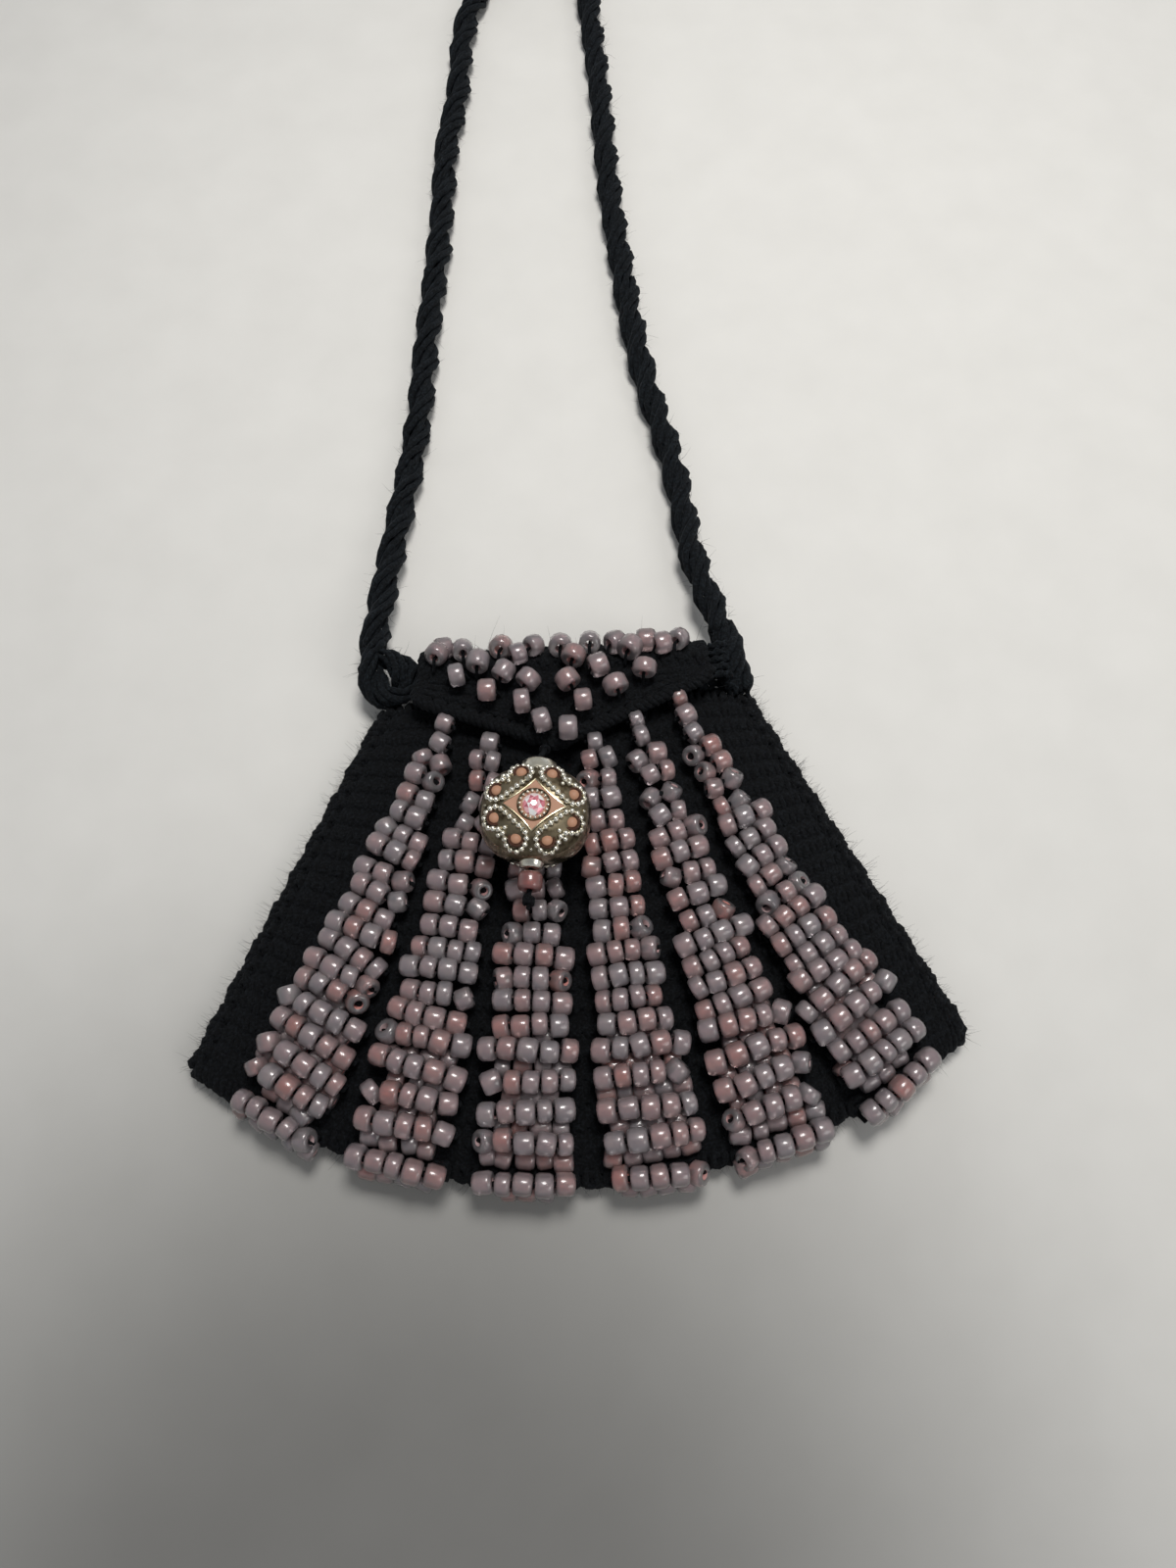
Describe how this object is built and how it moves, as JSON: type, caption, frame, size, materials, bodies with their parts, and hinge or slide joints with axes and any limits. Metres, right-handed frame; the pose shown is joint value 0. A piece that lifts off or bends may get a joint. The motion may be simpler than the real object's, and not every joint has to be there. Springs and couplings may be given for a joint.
{
  "type": "beaded medicine bag",
  "caption": "Small knitted neck pouch with a folded flap, columns of seed beads on its front, a hanging metal bead and a twisted neck cord.",
  "frame": {"origin": "under the middle of the pouch, on the surface that its back lies on", "axes": "+X to the right of the beaded front, +Y from the pouch to its neck cord, +Z out of the front"},
  "size_m": [0.0832, 0.2253, 0.0173],
  "materials": {
    "black_wool_yarn": "hairy garter-stitch knit",
    "black_cord_yarn": "two-strand twist",
    "pearl_pink_glass": "frosted pearl",
    "coral_pink_glass": "glossy",
    "antique_silver": "cast, antiqued",
    "pink_crystal": "faceted"
  },
  "bodies": {
    "pouch": {"back_and_flap": "black_wool_yarn", "bead_column_1": "pearl_pink_glass", "bead_column_2": "pearl_pink_glass", "bead_column_3": "pearl_pink_glass", "bead_column_4": "pearl_pink_glass", "bead_column_5": "pearl_pink_glass", "bead_column_6": "pearl_pink_glass", "cord_coil": "black_cord_yarn", "cord_end_left": "black_cord_yarn", "cord_end_right": "black_cord_yarn", "cord_left": "black_cord_yarn", "cord_right": "black_cord_yarn", "flap_bead_01": "pearl_pink_glass", "flap_bead_02": "pearl_pink_glass", "flap_bead_03": "pearl_pink_glass", "flap_bead_04": "pearl_pink_glass", "flap_bead_05": "pearl_pink_glass", "flap_bead_06": "pearl_pink_glass", "flap_bead_07": "pearl_pink_glass", "flap_bead_08": "pearl_pink_glass", "flap_bead_09": "pearl_pink_glass", "flap_bead_10": "pearl_pink_glass", "flap_bead_11": "pearl_pink_glass", "flap_bead_12": "pearl_pink_glass", "flap_bead_13": "pearl_pink_glass", "flap_bead_14": "pearl_pink_glass", "flap_bead_15": "pearl_pink_glass", "flap_bead_16": "pearl_pink_glass", "flap_bead_17": "pearl_pink_glass", "flap_bead_18": "pearl_pink_glass", "flap_bead_19": "pearl_pink_glass", "flap_bead_20": "pearl_pink_glass", "flap_bead_21": "pearl_pink_glass", "flap_bead_22": "pearl_pink_glass", "flap_bead_23": "pearl_pink_glass", "flap_bead_24": "pearl_pink_glass", "flap_bead_25": "pearl_pink_glass", "flap_bead_26": "pearl_pink_glass", "flap_bead_27": "pearl_pink_glass", "front_panel": "black_wool_yarn", "hang_thread": "black_wool_yarn", "seam_bottom": "black_wool_yarn", "seam_left": "black_wool_yarn", "seam_right": "black_wool_yarn"},
    "charm": {"charm_thread": "black_wool_yarn", "stopper_bead": "coral_pink_glass"},
    "metal_bead": {"metal_bead": "antique_silver", "rhinestone": "pink_crystal"}
  },
  "joints": [
    {"name": "bead_swing", "type": "hinge", "parent": "pouch", "child": "charm", "pos_m": [-0.00301, 0.01219, 0.01267], "axis": [-0.9945, 0.1045, 0], "range_deg": [0, 150]},
    {"name": "bead_turn", "type": "hinge", "parent": "charm", "child": "metal_bead", "pos_m": [-0.0037, 0.00562, 0.01267], "axis": [0.1045, 0.9945, 0], "range_deg": [-20, 20]}
  ]
}
